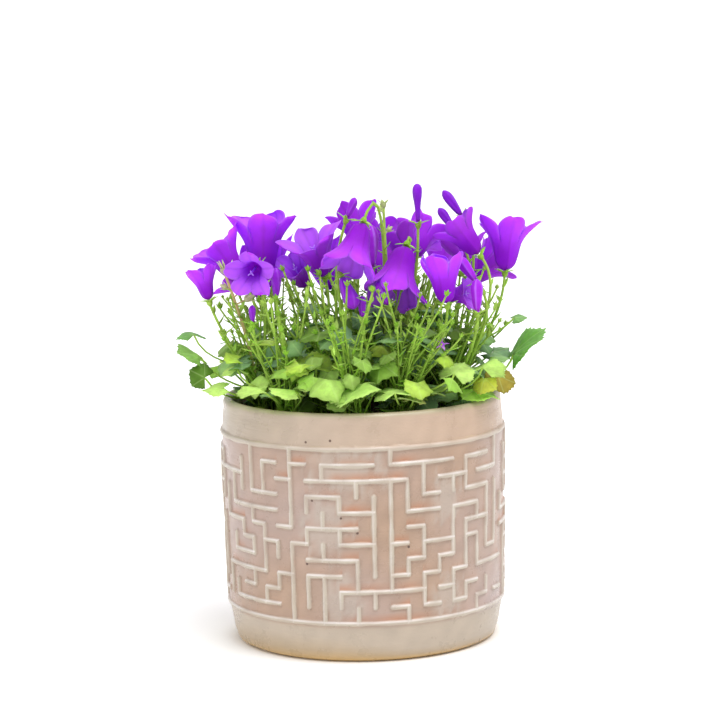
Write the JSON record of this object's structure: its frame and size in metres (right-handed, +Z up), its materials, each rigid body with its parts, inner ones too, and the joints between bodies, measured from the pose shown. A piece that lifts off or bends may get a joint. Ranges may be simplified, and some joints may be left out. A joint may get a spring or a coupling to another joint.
{
  "type": "potted bellflower",
  "caption": "Flowering bellflower with leafy shoots, bell blooms and buds, standing in soil in a round glazed pot with a raised fret.",
  "frame": {"origin": "centre of the pot's flat foot", "axes": "+Z up the pot's axis, -Y towards the front, +X to the right as seen from the front"},
  "size_m": [0.1754, 0.1652, 0.217],
  "materials": {
    "pot_glaze": "satin pinkish beige glaze",
    "potting_soil": "dark crumb",
    "leaf_green": "soft leaf",
    "petal_violet": "soft petal",
    "bud_violet": "soft petal"
  },
  "bodies": {
    "root": {"bloom_back_01": "petal_violet", "bloom_back_02": "petal_violet", "bloom_back_03": "petal_violet", "bloom_back_04": "petal_violet", "bloom_back_05": "petal_violet", "bloom_back_06": "petal_violet", "bloom_back_07": "petal_violet", "bloom_back_08": "petal_violet", "bloom_back_09": "petal_violet", "bloom_back_11": "petal_violet", "bloom_far_right": "petal_violet", "bloom_far_right_low": "petal_violet", "bloom_left_front": "petal_violet", "bloom_left_low": "petal_violet", "bloom_left_open": "petal_violet", "bloom_left_tall": "petal_violet", "bloom_long_lobed": "petal_violet", "bloom_mid_left": "petal_violet", "bloom_mid_left_low": "petal_violet", "bloom_mid_nodding": "petal_violet", "bloom_mid_right": "petal_violet", "bloom_right_back": "petal_violet", "bloom_right_low": "petal_violet", "bloom_tall_bell": "petal_violet", "bud_club": "bud_violet", "bud_left_dark": "bud_violet", "bud_left_small": "bud_violet", "bud_middle": "bud_violet", "bud_middle_low": "bud_violet", "bud_pair_inner": "bud_violet", "bud_pair_outer": "bud_violet", "bud_pointing_down": "bud_violet", "bud_ribbed": "bud_violet", "bud_right_ribbed": "bud_violet", "bud_right_striped": "bud_violet", "bud_top": "bud_violet", "pot": "pot_glaze", "shoot_01": "leaf_green", "shoot_02": "leaf_green", "shoot_03": "leaf_green", "shoot_04": "leaf_green", "shoot_05": "leaf_green", "shoot_06": "leaf_green", "shoot_07": "leaf_green", "shoot_08": "leaf_green", "shoot_09": "leaf_green", "shoot_10": "leaf_green", "shoot_11": "leaf_green", "shoot_12": "leaf_green", "shoot_13": "leaf_green", "shoot_14": "leaf_green", "shoot_15": "leaf_green", "shoot_16": "leaf_green", "soil": "potting_soil"}
  },
  "joints": []
}
